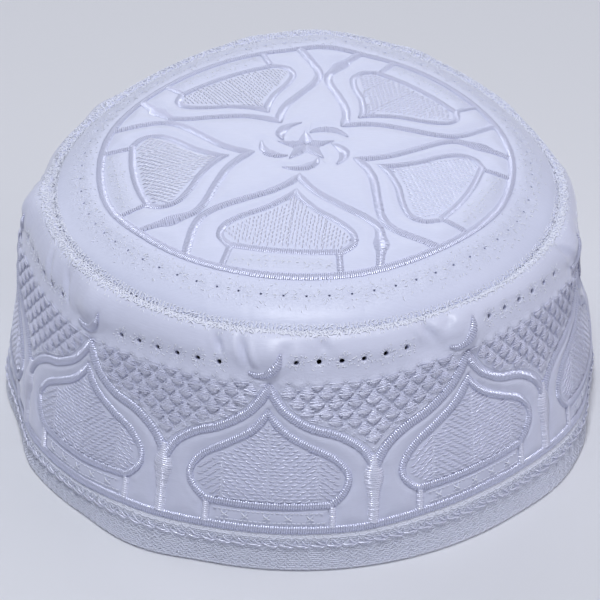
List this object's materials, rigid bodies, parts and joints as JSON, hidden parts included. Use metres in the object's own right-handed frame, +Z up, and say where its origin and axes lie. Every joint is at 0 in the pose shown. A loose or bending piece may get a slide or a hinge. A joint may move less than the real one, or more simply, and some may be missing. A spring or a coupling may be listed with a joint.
{
  "type": "embroidered prayer cap",
  "caption": "Round brimless prayer cap with a low domed crown panel, a flared side wall with a row of eyelets and a thick stitched rim band that it stands on.",
  "frame": {"origin": "middle of the rim's base, on the surface that the cap stands on", "axes": "+Z up through the middle of the crown, -Y towards the side that faces the viewer, +X to the viewer's right"},
  "size_m": [0.1837, 0.1838, 0.0875],
  "materials": {
    "crown_satin": "white satin cloth with raised satin stitching",
    "side_satin": "white satin cloth, quilted and embroidered",
    "rim_cotton": "folded cloth band with dense rows of stitching"
  },
  "bodies": {
    "root": {"crown_panel": "crown_satin", "side_wall": "side_satin", "rim_band": "rim_cotton"}
  },
  "joints": []
}
